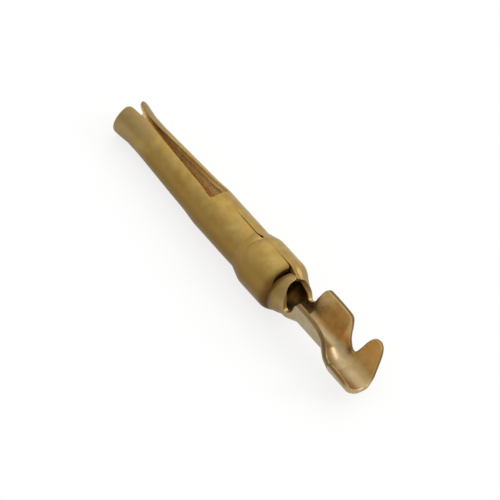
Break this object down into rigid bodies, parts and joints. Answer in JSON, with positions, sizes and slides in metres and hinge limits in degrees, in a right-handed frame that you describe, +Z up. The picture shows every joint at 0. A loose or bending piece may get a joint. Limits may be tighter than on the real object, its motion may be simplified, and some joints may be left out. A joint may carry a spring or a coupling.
{
  "type": "crimp socket contact",
  "caption": "Stamped and rolled socket contact with spring tines, a retention collar and open barrels crimped on a wire and its insulation.",
  "frame": {"origin": "middle of the bounding box at its lowest level, on the surface it lies on", "axes": "+X along the length towards the wire end, -X towards the mating tip, +Z up, towards the seam and the open crimp barrels"},
  "size_m": [0.0138, 0.0026, 0.0021],
  "materials": {
    "gold_plated_brass": "satin gold plating over brass, a little dull from forming"
  },
  "bodies": {
    "root": {"contact_body": "gold_plated_brass"}
  },
  "joints": []
}
